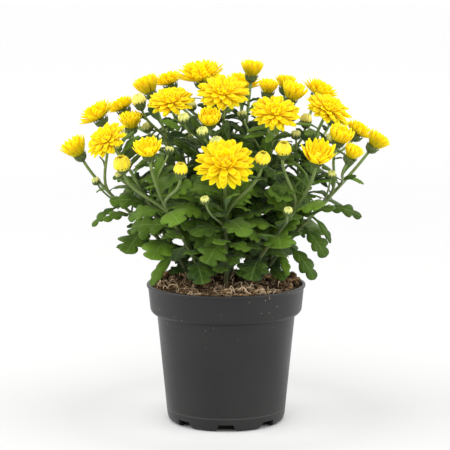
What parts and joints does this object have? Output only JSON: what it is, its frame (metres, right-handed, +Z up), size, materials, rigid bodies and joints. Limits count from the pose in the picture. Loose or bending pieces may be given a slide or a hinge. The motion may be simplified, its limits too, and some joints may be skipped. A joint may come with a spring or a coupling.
{
  "type": "pot chrysanthemum",
  "caption": "Flowering house plant: leafy stems with yellow double flower heads and buds, standing in peat in a round plastic nursery pot.",
  "frame": {"origin": "middle of the pot's flat base", "axes": "+Z up along the pot's axis, -Y towards the plant's fuller front, +X to its right seen from the front"},
  "size_m": [0.2498, 0.2134, 0.2771],
  "materials": {
    "pot": "charcoal moulded plastic, satin-matt",
    "soil": "moist brown peat with fibres",
    "foliage": "green leaves and stems, matt with a slight sheen",
    "petals": "lemon yellow petals, soft and matt"
  },
  "bodies": {
    "root": {"pot": "pot", "soil": "soil", "leafy_stem_01": "foliage", "leafy_stem_02": "foliage", "leafy_stem_03": "foliage", "leafy_stem_04": "foliage", "leafy_stem_05": "foliage", "leafy_stem_06": "foliage", "leafy_stem_07": "foliage", "leafy_stem_08": "foliage", "leafy_stem_09": "foliage", "leafy_stem_10": "foliage", "leafy_stem_11": "foliage", "leafy_stem_12": "foliage", "leafy_stem_13": "foliage", "leafy_stem_14": "foliage", "bloom_01": "petals", "bloom_02": "petals", "bloom_03": "petals", "bloom_04": "petals", "bloom_05": "petals", "bloom_06": "petals", "bloom_07": "petals", "bloom_08": "petals", "bloom_09": "petals", "bloom_10": "petals", "bloom_11": "petals", "bloom_12": "petals", "bloom_13": "petals", "bloom_14": "petals", "bloom_15": "petals", "bloom_16": "petals", "bloom_17": "petals", "bloom_18": "petals", "bloom_19": "petals", "bloom_20": "petals", "bloom_21": "petals", "bloom_22": "petals", "bloom_23": "petals", "bloom_24": "petals", "bloom_25": "petals", "bloom_26": "petals", "bloom_27": "petals", "bloom_28": "petals", "bloom_29": "petals", "bloom_30": "petals", "bloom_31": "petals", "bloom_32": "petals", "bloom_33": "petals", "bloom_34": "petals", "bloom_35": "petals", "bloom_36": "petals", "bloom_37": "petals", "bloom_38": "petals", "bloom_39": "petals", "bloom_40": "petals"}
  },
  "joints": []
}
